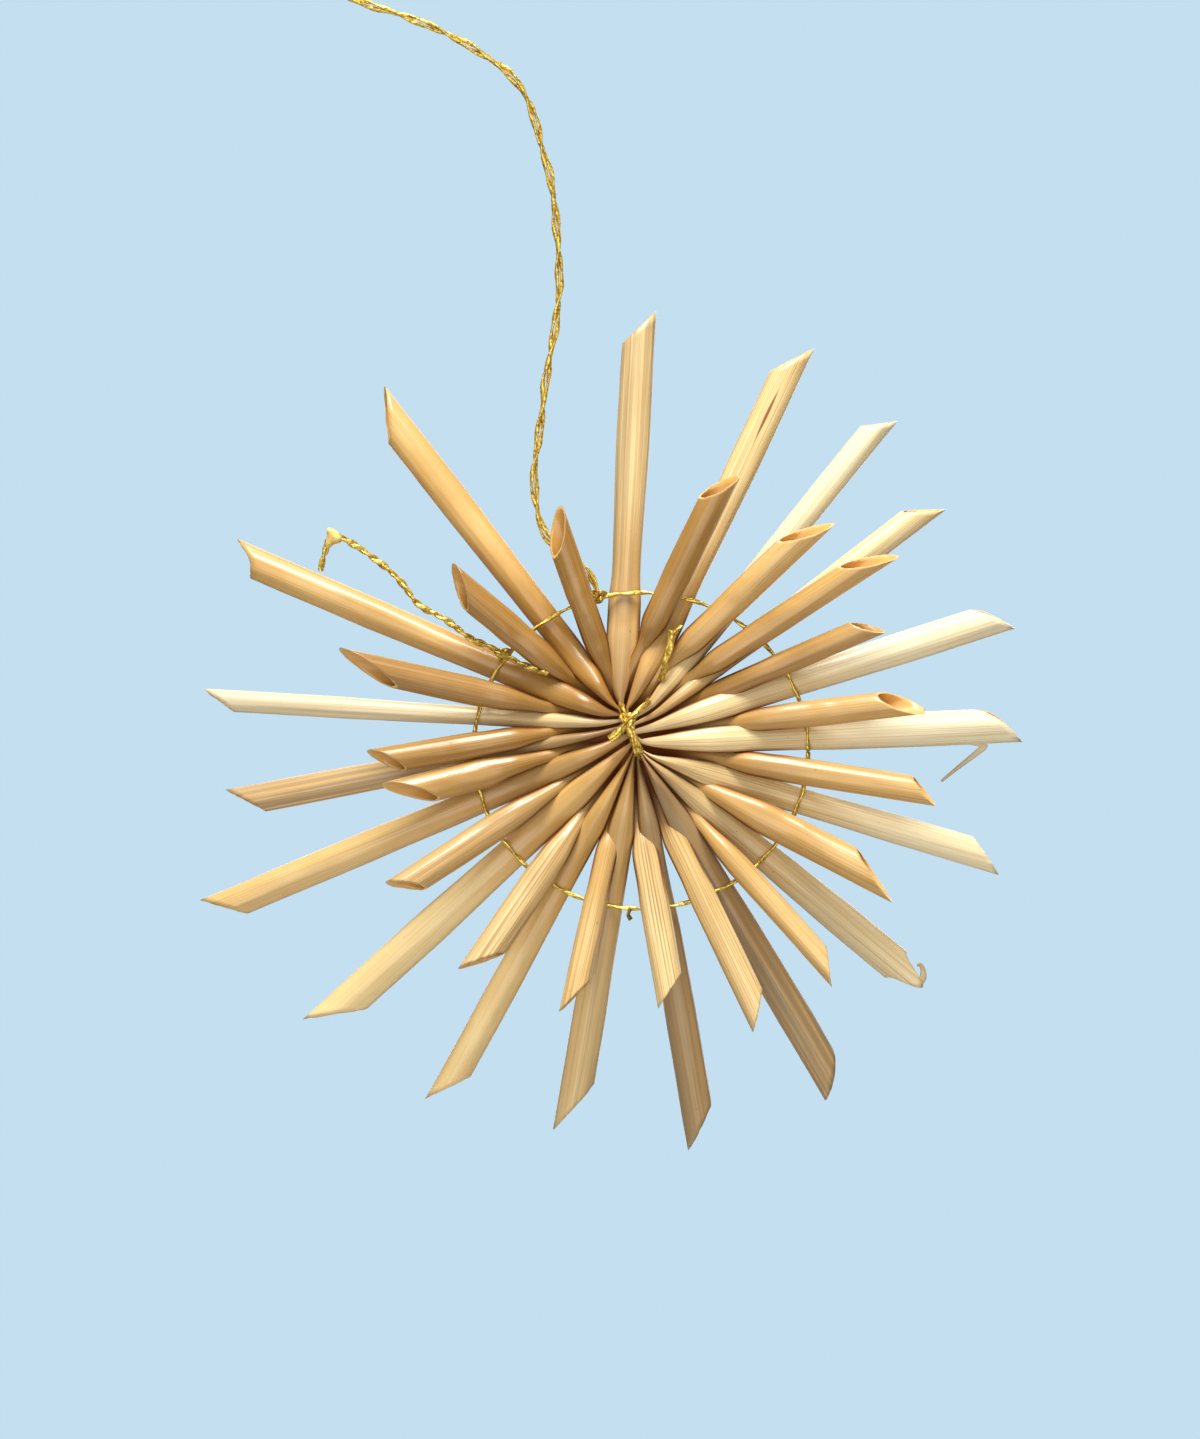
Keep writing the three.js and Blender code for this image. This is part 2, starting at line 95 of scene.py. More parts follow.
# A ray: angle at the root, angle at the far radius, width, tip radius, length of the slanting cut, how far
# the tip is turned round the straw from its clockwise edge (0) towards the viewer (90) or the back (-90),
# the share of the ring radius where it starts to change layers, its colour, from 0 bleached to 3 amber, and
# how grey it is. A long ray also has how much of the usual kept width is left to it.
RAYS = {
    "long": [
        (97.3, 89.2, 4.0, 50.3, 4.3, 0, CROSS_FROM, 1.2, 1.0, 1.4),
        (73.0, 66.6, 3.7, 50.8, 4.8, -5, 0.36, 1.3, 0.1, 1.15),
        (49.5, 50.6, 3.1, 48.9, 3.3, -5, CROSS_FROM, 0.3, 0.0, 1.0),
        (33.0, 36.3, 3.15, 46.1, 4.5, -8, CROSS_FROM, 0.8, 0.35, 0.8),
        (12.0, 16.4, 3.8, 47.8, 4.6, -5, 0.5, 0.1, 0.1, 1.0),
        (-10.6, -0.2, 4.15, 47.0, 5.8, -5, 0.5, 0.1, 0.1, 0.95),
        (-35.0, -20.6, 3.5, 47.5, 4.3, 5, CROSS_FROM, 0.4, 0.1, 1.1),
        (-50.5, -42.0, 4.1, 46.9, 4.2, 88, CROSS_FROM, 0.6, 0.5, 0.9),
        (-63.3, -60.3, 4.05, 50.5, 5.8, 10, 0.38, 1.9, 1.6, 0.9),
        (-78.4, -79.9, 3.8, 51.2, 5.4, 8, 0.37, 2.3, 1.6, 0.8),
        (-92.5, -98.1, 3.95, 49.1, 6.4, 5, 0.39, 1.4, 0.5, 1.0),
        (-106.5, -116.1, 3.55, 50.9, 5.1, 0, 0.38, 1.4, 0.0, 1.0),
        (-126.5, -135.2, 4.35, 52.7, 6.7, -4, 0.33, 1.15, 0.0, 1.0),
        (-150.0, -155.7, 3.75, 55.7, 4.7, 0, CROSS_FROM, 1.7, 0.2, 1.0),
        (-169.7, -169.3, 3.45, 49.1, 4.4, 0, CROSS_FROM, 1.7, 1.4, 0.6),
        (174.0, 176.0, 2.6, 51.6, 4.1, -5, CROSS_FROM, 0.1, 0.6, 1.0),
        (153.4, 156.1, 3.8, 52.4, 3.4, 0, 0.34, 2.0, 0.1, 1.0),
        (127.5, 127.8, 3.95, 50.6, 6.0, -8, CROSS_FROM, 2.0, 0.0, 0.95),
    ],
    "short": [
        (112.4, 110.2, 3.2, 27.6, 5.7, -35, CROSS_FROM, 3.0, 0.1),
        (85.2, 70.6, 3.45, 32.7, 4.6, -26, CROSS_FROM, 2.7, 0.1),
        (61.0, 48.9, 3.4, 34.3, 6.5, -22, 0.2, 1.8, 0.0),
        (41.0, 35.5, 3.1, 37.8, 6.9, -24, 0.2, 2.2, 0.0),
        (22.5, 22.9, 2.85, 32.3, 3.6, -19, CROSS_FROM, 2.5, 0.1),
        (0.7, 4.9, 3.2, 34.9, 5.6, -36, CROSS_FROM, 2.1, 0.0),
        (-22.8, -13.2, 3.15, 37.2, 3.4, -12, CROSS_FROM, 2.1, 0.0),
        (-43.3, -32.2, 3.9, 37.1, 6.9, -8, 0.25, 2.0, 0.0),
        (-57.5, -51.0, 2.8, 38.7, 4.0, 0, 0.37, 1.8, 0.0),
        (-70.8, -66.3, 3.25, 38.7, 4.2, 5, 0.39, 1.4, 0.2),
        (-85.8, -81.7, 3.5, 33.2, 3.6, 0, 0.37, 1.1, 0.3),
        (-99.2, -101.5, 2.85, 34.7, 4.5, -8, 0.4, 1.6, 0.1),
        (-116.3, -121.9, 3.7, 35.0, 4.9, -12, 0.34, 1.3, 0.45),
        (-138.3, -144.4, 3.35, 34.3, 3.8, -21, CROSS_FROM, 1.9, 0.6),
        (-159.9, -163.8, 3.7, 30.2, 6.3, -27, 0.22, 2.4, 0.0),
        (-177.9, -172.7, 3.15, 31.2, 4.3, -27, 0.22, 2.9, 0.0),
        (165.5, 167.0, 3.4, 35.6, 7.7, -27, CROSS_FROM, 3.0, 0.2),
        (140.5, 140.4, 3.55, 28.6, 5.0, -25, CROSS_FROM, 3.0, 0.0),
    ],
}

# Ends that are not cut straight: above 1 the tip is drawn out to a beak, below 1 the shoulder is rounded.
BEAKS = {("long", 5): 0.7, ("long", 6): 0.5, ("long", 8): 11.0, ("long", 9): 0.6, ("long", 17): 2.2}

# How strongly the fibres show on a ray: less than 1 where the waxy skin is whole, more where it has worn off.
FIBRES = {
    ("long", 11): 0.6, ("long", 12): 0.25, ("long", 13): 0.25, ("long", 14): 0.6, ("long", 17): 0.6,
    ("long", 18): 0.4, ("short", 10): 1.3, ("short", 11): 1.5, ("short", 12): 1.4, ("short", 13): 1.8,
    ("short", 14): 1.7,
}

# Cracks along the fibres at the front of a ray: the distances from the middle where each begins and ends.
CRACKS = {("long", 2): (35.0, 45.5)}
NO_CRACK = (-2.0, -1.0)

# Slivers that have peeled from a ray: the places they run through and their width. Their look is that of the
# ray some way back from its tip, and they narrow and brown towards their ends.
SLIVER_STEP, SLIVER_NARROWING, SLIVER_LOOK_FROM, SLIVER_GRAIN, SLIVER_BROWN = 0.3, 0.3, 8.0, 6.0, 0.5
SPLINTERS = [
    (("long", 6), [(39.8, -1.3, -6.9), (42.2, -1.9, -7.0), (42.6, -2.15, -7.0), (41.9, -2.8, -7.0),
                   (39.6, -4.6, -7.0), (37.4, -6.4, -7.0)], 1.0),
    (("long", 8), [(34.6, -30.6, -5.6), (35.1, -29.9, -5.3), (35.1, -29.0, -5.1), (34.75, -28.3, -4.9),
                   (34.35, -28.4, -4.8)], 1.1),
]


def towards(degrees):
    return np.array([math.cos(math.radians(degrees)), math.sin(math.radians(degrees))])


def ramp(x, start, end):
    return np.clip((x - start) / (end - start), 0.0, 1.0)


def ease(x, start, end):
    t = ramp(x, start, end)
    return t * t * (3 - 2 * t)


def in_frame(places):
    """Places on the star's face (u right, v up, d to the viewer, in mm) as points of the frame, in metres."""
    places = np.asarray(places, float)
    return np.stack([MIDDLE[0] + places[:, 0], -places[:, 2], MIDDLE[1] + places[:, 1]], axis=1) * 0.001


def turned(directions):
    """Directions or steps on the star's face, in mm, as directions of the frame, in metres."""
    directions = np.asarray(directions, float)
    return np.stack([directions[:, 0], -directions[:, 2], directions[:, 1]], axis=1) * 0.001


def axis_places(ray, s):
    """Places (u, v) on a ray's axis: straight out from the tie, bent at the root, straight on to the tip."""
    s = np.asarray(s, float)[:, None]
    bend_from, bend_to = ray.root_at - BEND_REACH, ray.root_at + BEND_REACH
    inner = ray.start + ray.inward * s
    outer = ray.root + ray.outward * (s - ray.root_at)
    t = ramp(s, bend_from, bend_to)
    start = ray.start + ray.inward * bend_from
    end = ray.root + ray.outward * BEND_REACH
    bend = (1 - t) ** 2 * start + 2 * t * (1 - t) * ray.root + t**2 * end
    return np.where(s <= bend_from, inner, np.where(s >= bend_to, outer, bend))


def ring_share(ray, s):
    """How far along the way from the middle to the ring thread each place on the axis is."""
    places = axis_places(ray, s)
    reach = np.linalg.norm(places, axis=1)
    heading = places / reach[:, None] / RING.reach
    middle = RING.middle / RING.reach
    a = (heading**2).sum(axis=1)
    b = heading @ middle
    c = middle @ middle - 1
    return reach * a / (b + np.sqrt(b**2 - a * c))


def at_share(ray, share):
    """The place on the axis that is this share of the way to the ring thread."""
    s = np.array([share * RING.reach[1]])
    for _ in range(6):
        s = s * share / ring_share(ray, s)
    return s[0]


def make_ray(tier, index, root_angle, far_angle, width, tip_radius, cut, tip_turn, cross_from, ripeness,
             greyness, squeezed=None):
    """A ray with its axis, from its place on the tie over the bend at its root to its tip."""
    outward = FAR_RADIUS[tier] * towards(far_angle) - ROOT_RADIUS * towards(root_angle)
    outward = outward / np.linalg.norm(outward)
    root = ROOT_RADIUS * towards(root_angle) - BEND_SETBACK * outward
    start = TIE_SPREAD * (root @ TIE_HEADING) * TIE_HEADING
    root_at = np.linalg.norm(root - start)
    along = root @ outward
    ray = SimpleNamespace(
        tier=tier, index=index, start=start, root=root, root_at=root_at, inward=(root - start) / root_at,
        outward=outward, width=width, cut=cut, tip_turn=math.radians(tip_turn), cross_from=cross_from,
        ripeness=ripeness, greyness=greyness, squeezed=squeezed,
        side=1 if tier == "long" else -1, level=STRIP_FIRST_LEVEL + STRIP_SPACING * (index % 9),
        tip_at=root_at - along + math.sqrt(along**2 - root @ root + tip_radius**2),
    )
    ray.ring_at = at_share(ray, 1.0)
    return ray


def depth(ray, s):
    """Distance towards the viewer. A long straw is in front at the tie and behind at the ring thread, a short
    straw the other way round, with each bend eased over a few mm."""
    total = 0
    for shift in BEND_SHIFTS:
        near = np.maximum(np.asarray(s, float) + shift, NEAREST)
        plateau = ray.level + (PLATEAU - ray.level) * ease(near, STRIP_RADIUS, PLATEAU_RADIUS)
        share = ramp(ring_share(ray, near), ray.cross_from, ray.cross_from + CROSS_SPAN)
        lean = LEAN * np.maximum(near - ray.ring_at, 0)
        total = total + plateau - (PLATEAU + RING_OFFSET) * share - lean
    return ray.side * total / len(BEND_SHIFTS)


def half_depth(ray, s, wide):
    """Half depths along a ray: flat at the tie, thicker towards the ring thread, nearly round outside it."""
    full = ray.width * HALF_DEPTH_SHARE
    radius = np.linalg.norm(axis_places(ray, s), axis=1)
    pinch = STRIP_HALF_DEPTH + (INNER_HALF_DEPTH - STRIP_HALF_DEPTH) * ease(radius, *OPENING_RADII)
    approach = ramp(ring_share(ray, np.maximum(s, NEAREST)), *RING_APPROACH)
    inner = pinch + (RING_HALF_DEPTH - pinch) * approach
    inner = np.minimum(inner, wide) if ray.tier == "short" else inner
    outer = inner + (full - inner) * ease(s, ray.ring_at, ray.ring_at + ROUNDING_LENGTH)
    return np.minimum(outer, max(full, MOST_HALF_DEPTH))


def nearest_on(ray, places):
    """For each place, the nearest place on a ray's axis: how far it is, its s, and the step to it."""
    line_s = np.arange(0, ray.tip_at, SAMPLE)
    line = axis_places(ray, line_s)
    apart = line[None] - places[:, None]
    between = np.linalg.norm(apart, axis=2)
    best = between.argmin(axis=1)
    rows = np.arange(len(places))
    return between[rows, best], line_s[best], apart[rows, best]


def fit_width(ray, long_rays):
    """Half widths along a ray. A long straw keeps what the pressing and its neighbours leave it. A short
    straw fills the gap between the long straws beside it and spreads to its full width near the ring."""
    s = np.arange(NEAREST, ray.tip_at + 1, SAMPLE)
    here = axis_places(ray, s)
    radius = np.linalg.norm(here, axis=1)
    if ray.tier == "long":
        released = ease(s, SQUEEZE_END[0] * ray.ring_at, SQUEEZE_END[1] * ray.ring_at)
        squeezed = ray.squeezed + (1 - ray.squeezed) * released
        room = ray.width / 2 * np.minimum(np.interp(radius, *KEPT_WIDTH) * squeezed, 1)
        own = ray.width * ray.squeezed
        for other in long_rays:
            if other.index % 9 != ray.index % 9:
                own_share = own / (own + other.width * other.squeezed)
                room = np.minimum(room, nearest_on(other, here)[0] * own_share - CLEARANCE)
    else:
        across = np.array([ray.outward[1], -ray.outward[0]])
        gaps = {1: np.full(len(s), np.inf), -1: np.full(len(s), np.inf)}
        for other in long_rays:
            between, other_s, apart = nearest_on(other, here)
            free = between - np.interp(other_s, other.width_s, other.widths)
            side = np.sign(apart @ across)
            for key in gaps:
                gaps[key] = np.where(side == key, np.minimum(gaps[key], free), gaps[key])
        room = np.maximum(gaps[1], gaps[-1]) + GAP_OVERLAP
        wedge = np.array(WEDGE) + WEDGE_SHIFT * max(0, ray.cross_from - CROSS_FROM)
        room = np.minimum(room, MOST_SHARE * ray.width / 2)
        room = np.maximum(room, ray.width / 2 * ramp(radius, *wedge))
    room = np.maximum(room, LEAST_HALF_WIDTH[ray.tier])
    blur = np.hanning(BLUR) / np.hanning(BLUR).sum()
    ray.width_s = s
    ray.widths = np.convolve(np.pad(room, BLUR // 2, mode="edge"), blur, mode="valid")


def section_rings(ray, s, inset=0.0, inside=0.0, cut_face=0.0):
    """The numbers of one ring of the skin at each s, for the tree below to draw the ring from."""
    s = np.asarray(s, float)
    step = 0.05
    heading = (axis_places(ray, s + step) - axis_places(ray, s - step)) / (2 * step)
    rise = (depth(ray, s + step) - depth(ray, s - step)) / (2 * step)
    along = np.column_stack([heading, rise * ease(s, ray.ring_at, ray.ring_at + LEAN_EASE)])
    across = np.column_stack([heading[:, 1], -heading[:, 0], np.zeros(len(s))])
    wide = np.interp(s, ray.width_s, ray.widths)
    deep = np.maximum(half_depth(ray, s, wide) - inset, LEAST_BORE[1])
    wide = np.maximum(wide - inset, LEAST_BORE[0])
    slant = ray.cut * ramp(s, ray.tip_at - SLANT_REACH * ray.cut, ray.tip_at)
    share = wide / (ray.width / 2)
    torn = ramp(s, ray.tip_at - TORN_LENGTH, ray.tip_at)
    centre = np.column_stack([axis_places(ray, s), depth(ray, s)]) - along * (slant / 2)[:, None]
    # The pressed brown is also painted shade, most of all on a short straw where it lies behind the long
    # ones.
    if ray.tier == "short":
        pressed_shade_from, pressed_shade_to = (ray.cross_from + offset for offset in PRESSED_SHADE_SPAN)
        pressed_and_shaded = 1 - ease(ring_share(ray, np.maximum(s, NEAREST)), pressed_shade_from, pressed_shade_to)
    else:
        pressed_and_shaded = LONG_PRESSED_SHADE * (1 - ease(s, *LONG_PRESSED_SHADE_SPAN))
    name = (ray.tier, ray.index + 1)
    crack_from, crack_to = CRACKS.get(name, NO_CRACK)
    along_crack = (2 * s - crack_from - crack_to) / (crack_to - crack_from)
    count = len(s)
    return {
        "centre": in_frame(centre),
        "wide": turned(across * wide[:, None]),
        "deep": turned(np.column_stack([np.zeros((count, 2)), deep])),
        "slope": turned(along * (slant / 2 * share)[:, None]),
        "torn": turned(along * torn[:, None]),
        "tip_turn": np.full(count, ray.tip_turn),
        "beak": np.full(count, BEAKS.get(name, 1.0)),
        "run": s,
        "inside": np.full(count, inside),
        "cut_face": np.full(count, cut_face),
        # Riper towards the middle, partly as painted shade.
        "ripeness": ray.ripeness + RIPER_AND_SHADED_INSIDE[ray.tier] * (1 - ease(s, *RIPER_AND_SHADED_SPAN)),
        "greyness": np.full(count, ray.greyness),
        "fibres": np.full(count, FIBRES.get(name, 1.0)),
        # These two carry the brown of pressing and folding together with painted shade in the valleys between
        # the rays.
        "pressed_and_shaded": pressed_and_shaded,
        "cracked": np.maximum(1 - along_crack**2, 0),
        "folded_and_shaded": 1 - ease(s, FOLDED_SHADE_SPAN[0] * ray.ring_at, FOLDED_SHADE_SPAN[1] * ray.ring_at),
    }


def ray_rings(ray):
    """Rings from the bottom of the bore, out along its wall, over the slanting rim and back to the middle."""
    bore = np.linspace(ray.ring_at + BORE_SETBACK, ray.tip_at, BORE_RINGS)
    tip = np.array([ray.tip_at])
    outside = np.linspace(ray.tip_at, ray.ring_at, OUTSIDE_RINGS, endpoint=False)
    crossing = np.linspace(ray.ring_at, STRIP_RADIUS, CROSSING_RINGS, endpoint=False)
    parts = [
        section_rings(ray, bore[:1], inset=BORE_CLOSED, inside=1.0),
        section_rings(ray, bore, inset=WALL, inside=1.0),
        section_rings(ray, tip, inset=WALL - RIM_ROUNDING, cut_face=1.0),
        section_rings(ray, tip, inset=RIM_ROUNDING, cut_face=1.0),
        section_rings(ray, np.concatenate([outside, crossing, STRIP_RINGS])),
    ]
    return {key: np.concatenate([part[key] for part in parts]) for key in parts[0]}


def steps_along(path):
    """The lengths and the directions of the steps along a path."""
    steps = np.gradient(path, axis=0)
    lengths = np.linalg.norm(steps, axis=1)
    return lengths, steps / lengths[:, None]


def smooth_path(places, spacing, closed=False):
    """Points about every spacing along a centripetal Catmull-Rom curve through the places."""
    places = np.asarray(places, float)
    if closed:
        knots = np.vstack([places[-1], places, places[0], places[1]])
    else:
        knots = np.vstack([2 * places[0] - places[1], places, 2 * places[-1] - places[-2]])
    path = []
    for i in range(1, len(knots) - 2):
        p = knots[i - 1:i + 3]
        t = np.concatenate([[0.0], np.cumsum(np.linalg.norm(np.diff(p, axis=0), axis=1) ** 0.5)])
        count = max(2, int(np.linalg.norm(p[2] - p[1]) / spacing))
        x = np.linspace(t[1], t[2], count, endpoint=False)[:, None]
        a = [((t[j + 1] - x) * p[j] + (x - t[j]) * p[j + 1]) / (t[j + 1] - t[j]) for j in range(3)]
        b = [((t[j + 2] - x) * a[j] + (x - t[j]) * a[j + 1]) / (t[j + 2] - t[j]) for j in range(2)]
        path.append(((t[2] - x) * b[0] + (x - t[1]) * b[1]) / (t[2] - t[1]))
    if not closed:
        path.append(places[-1:])
    return np.vstack(path)


def splinter_rings(ray, places, width):
    """A sliver of a straw's wall that has peeled from its edge, along the given places."""
    path = smooth_path(places, SLIVER_STEP)
    count = len(path)
    heading = steps_along(path)[1]
    across = np.column_stack([heading[:, 1], -heading[:, 0], np.zeros(count)])
    narrowing = np.linspace(1.0, SLIVER_NARROWING, count)[:, None]
    rings = section_rings(ray, np.full(count, ray.tip_at - SLIVER_LOOK_FROM))
    rings["centre"] = in_frame(path)
    rings["wide"] = turned(across * width / 2 * narrowing)
    rings["deep"] = turned(np.tile([0, 0, WALL / 2], (count, 1)))
    rings["slope"] = rings["torn"] = np.zeros((count, 3))
    rings["run"] = rings["run"] + np.linspace(0, SLIVER_GRAIN, count)
    rings["pressed_and_shaded"] = np.linspace(0, SLIVER_BROWN, count)
    return rings


def straw_rings(first, second, number):
    """One straw as rings from one end to the other: the first ray turned round, then the second."""
    start, end = ray_rings(first), ray_rings(second)
    start["wide"] = -start["wide"]
    start["tip_turn"] = math.pi - start["tip_turn"]
    start["run"] = -start["run"]
    end = {key: values[::-1] for key, values in end.items()}
    rings = {key: np.concatenate([start[key], end[key]]) for key in start}
    rings["run"] = rings["run"] + GRAIN_APART * number
    return rings


def guide_line(name, values, closed=False):
    """A line of points with the given numbers on each, for a tree to make a skin along."""
    count = len(values["centre"])
    mesh = bpy.data.meshes.new(name)
    edges = [(i, i + 1) for i in range(count - 1)] + ([(count - 1, 0)] if closed else [])
    mesh.from_pydata(values["centre"].tolist(), edges, [])
    for key, numbers in values.items():
        is_vector = numbers.ndim == 2
        attribute = mesh.attributes.new(key, "FLOAT_VECTOR" if is_vector else "FLOAT", "POINT")
        attribute.data.foreach_set("vector" if is_vector else "value", numbers.astype(np.float32).ravel())
    return mesh


def add(tree, kind, settings=None, inputs=None, output=0):
    """A node of this kind with its settings, and each of its inputs linked to a socket or set to a value. It
    gives back one output of the node, or the node itself if output is None."""
    node = tree.nodes.new(kind)
    for name, value in (settings or {}).items():
        setattr(node, name, value)
    for key, value in (inputs or {}).items():
        if isinstance(value, bpy.types.NodeSocket):
            tree.links.new(value, node.inputs[key])
        else:
            node.inputs[key].default_value = value
    return node if output is None else node.outputs[output]


NUMBER, VECTOR = {"data_type": "FLOAT"}, {"data_type": "FLOAT_VECTOR"}
TIMES, MINUS, OVER = ({"operation": name} for name in ("MULTIPLY", "SUBTRACT", "DIVIDE"))


def new_shape_tree(name, sockets):
    """An empty geometry tree with the named inputs, each a socket type and a starting value."""
    tree = bpy.data.node_groups.new(name, "GeometryNodeTree")
    tree.interface.new_socket("Guide", in_out="INPUT", socket_type="NodeSocketGeometry")
    tree.interface.new_socket("Skin", in_out="OUTPUT", socket_type="NodeSocketGeometry")
    for label, (kind, value) in sockets.items():
        socket = tree.interface.new_socket(label, in_out="INPUT", socket_type=kind)
        if value is not None:
            socket.default_value = value
    return tree


def end_shape_tree(tree, skin, material):
    """The end of a geometry tree: smooth faces, a real mesh and its material."""
    for kind in ("GeometryNodeSetShadeSmooth", "GeometryNodeRealizeInstances"):
        skin = add(tree, kind, inputs={"Geometry": skin})
    skin = add(tree, "GeometryNodeSetMaterial", inputs={"Geometry": skin, "Material": material})
    add(tree, "NodeGroupOutput", inputs={"Skin": skin}, output=None)


def culm_tree():
    """A skin round a guide line, with the lengthwise flutes of a culm and a torn edge at its slanting rim."""
    tree = new_shape_tree("culm skin", {
        "Sides": ("NodeSocketInt", 44),
        "Flute depth": ("NodeSocketFloat", 0.035),
        "Flutes": ("NodeSocketFloat", 2.6),
        "Flute stretch": ("NodeSocketVector", (1.0, 1.0, 0.02)),
        "Torn edge": ("NodeSocketFloat", 0.5),
        "Tears": ("NodeSocketFloat", 3.2),
        "Seed": ("NodeSocketFloat", 4.0),
        "Straw": ("NodeSocketMaterial", None),
    })
    given = add(tree, "NodeGroupInput", output=None).outputs

    line = add(tree, "GeometryNodeMeshToCurve", inputs={"Mesh": given["Guide"]})
    circle = add(tree, "GeometryNodeCurvePrimitiveCircle",
                 inputs={"Resolution": given["Sides"]}, output="Curve")
    index = add(tree, "GeometryNodeInputIndex")
    round_share = add(tree, "ShaderNodeMath", OVER, {0: index, 1: given["Sides"]})
    full_turn = add(tree, "ShaderNodeMath", TIMES, {0: round_share, 1: math.tau})
    profile = add(tree, "GeometryNodeStoreNamedAttribute", NUMBER,
                  {"Geometry": circle, "Name": "turn", "Value": full_turn})
    skin = add(tree, "GeometryNodeCurveToMesh",
               inputs={"Curve": line, "Profile Curve": profile, "Fill Caps": True})

    turn, tip_turn, run, beak = (
        add(tree, "GeometryNodeInputNamedAttribute", NUMBER, {"Name": name})
        for name in ("turn", "tip_turn", "run", "beak"))
    cosine = add(tree, "ShaderNodeMath", {"operation": "COSINE"}, {0: turn})
    sine = add(tree, "ShaderNodeMath", {"operation": "SINE"}, {0: turn})
    from_tip = add(tree, "ShaderNodeMath", MINUS, {0: turn, 1: tip_turn})
    to_tip = add(tree, "ShaderNodeMath", {"operation": "COSINE"}, {0: from_tip})
    rim_share = add(tree, "ShaderNodeMapRange", inputs={"Value": to_tip, "From Min": -1.0})
    beaked = add(tree, "ShaderNodeMath", {"operation": "POWER"}, {0: rim_share, 1: beak})
    to_tip = add(tree, "ShaderNodeMapRange", inputs={"Value": beaked, "To Min": -1.0})
    grain = add(tree, "ShaderNodeCombineXYZ", inputs={"X": cosine, "Y": sine, "Z": run})

    long_scale = add(tree, "ShaderNodeVectorMath", TIMES, {0: grain, 1: given["Flute stretch"]})
    flutes = add(tree, "ShaderNodeTexNoise", {"noise_dimensions": "4D"},
                 {"Vector": long_scale, "W": given["Seed"], "Scale": given["Flutes"], "Detail": 2.0})
    flute = add(tree, "ShaderNodeMapRange", inputs={
        "Value": flutes, "From Min": 0.3, "From Max": 0.7, "To Min": -1.0, "To Max": 1.0})
    flute_size = add(tree, "ShaderNodeMath", {"operation": "MULTIPLY_ADD"},
                     {0: flute, 1: given["Flute depth"], 2: 1.0})
    tears = add(tree, "ShaderNodeTexNoise", {"noise_dimensions": "4D"},
                {"Vector": grain, "W": given["Seed"], "Scale": given["Tears"], "Detail": 3.0})
    tear = add(tree, "ShaderNodeMath", MINUS, {0: tears, 1: 0.5})
    tear_size = add(tree, "ShaderNodeMath", TIMES, {0: tear, 1: given["Torn edge"]})

    place = add(tree, "GeometryNodeInputNamedAttribute", VECTOR, {"Name": "centre"})
    for name, amount, swells in (("wide", cosine, True), ("deep", sine, True), ("slope", to_tip, False),
                                 ("torn", tear_size, False)):
        step = add(tree, "GeometryNodeInputNamedAttribute", VECTOR, {"Name": name})
        if swells:
            amount = add(tree, "ShaderNodeMath", TIMES, {0: amount, 1: flute_size})
        scaled = add(tree, "ShaderNodeVectorMath", {"operation": "SCALE"}, {0: step, "Scale": amount})
        place = add(tree, "ShaderNodeVectorMath", {"operation": "ADD"}, {0: place, 1: scaled})

    skin = add(tree, "GeometryNodeSetPosition", inputs={"Geometry": skin, "Position": place})
    skin = add(tree, "GeometryNodeStoreNamedAttribute", VECTOR,
               {"Geometry": skin, "Name": "grain", "Value": grain})
    end_shape_tree(tree, skin, given["Straw"])
    return tree


def new_object(name, data):
    thing = bpy.data.objects.new(name, data)
    bpy.context.scene.collection.objects.link(thing)
    return thing


def skin_piece(name, guide, tree, choices):
    """A plain mesh object of what the tree makes along the guide line, with its faces pointing out."""
    piece = new_object(name, guide)
    shaping = piece.modifiers.new("shape", "NODES")
    shaping.node_group = tree
    for socket in tree.interface.items_tree:
        if socket.in_out == "INPUT" and socket.name in choices:
            shaping[socket.identifier] = choices[socket.name]
    depsgraph = bpy.context.evaluated_depsgraph_get()
    mesh = bpy.data.meshes.new_from_object(
        piece.evaluated_get(depsgraph), preserve_all_data_layers=True, depsgraph=depsgraph)
    piece.modifiers.remove(shaping)
    piece.data = mesh
    shell = bmesh.new()
    shell.from_mesh(mesh)
    bmesh.ops.recalc_face_normals(shell, faces=shell.faces)
    shell.to_mesh(mesh)
    shell.free()
    return piece


def joined(parts):
    """The parts as one object, the first of them."""
    merged = bmesh.new()
    for part in parts:
        merged.from_mesh(part.data)
    merged.to_mesh(parts[0].data)
    merged.free()
    for part in parts[1:]:
        bpy.data.objects.remove(part)
    return parts[0]


def linear(hex_colour):
    """An sRGB hex value as linear red, green, blue and a full alpha."""
    parts = [int(hex_colour[i:i + 2], 16) / 255 for i in (1, 3, 5)]
    return (*[c / 12.92 if c <= 0.04045 else ((c + 0.055) / 1.055) ** 2.4 for c in parts], 1.0)


def new_material(name):
    """A material with its nodes and its shader."""
    material = bpy.data.materials.new(name)
    material.use_nodes = True
    return material, material.node_tree, material.node_tree.nodes["Principled BSDF"]


# The colours that straw ripens through, and those that lie over them, with how strongly some of them do.
BLEACHED, CREAM, HONEY, AMBER = "#f4eac8", "#f7dda2", "#d9ae66", "#a07226"
# The bore colour is a painted glow of light shining through the thin wall.
WEATHERED, STRIA, BORE_GLOW, CUT_FACE, FLECK = "#a08a68", "#b18a56", "#eab45f", "#dcbb80", "#5b3a1c"
# A dark brown for the folds, which also paints the shade in the valleys between the rays.
FOLD_AND_SHADE, CRACK = "#6e3006", "#8a5a2c"
MOTTLE_SHARE, BORE_GLOW_SHARE, FOLD_AND_SHADE_SHARE = 0.9, 0.65, 0.92
STRAW_RADIUS, CRACK_REACH = 1.85, 0.16


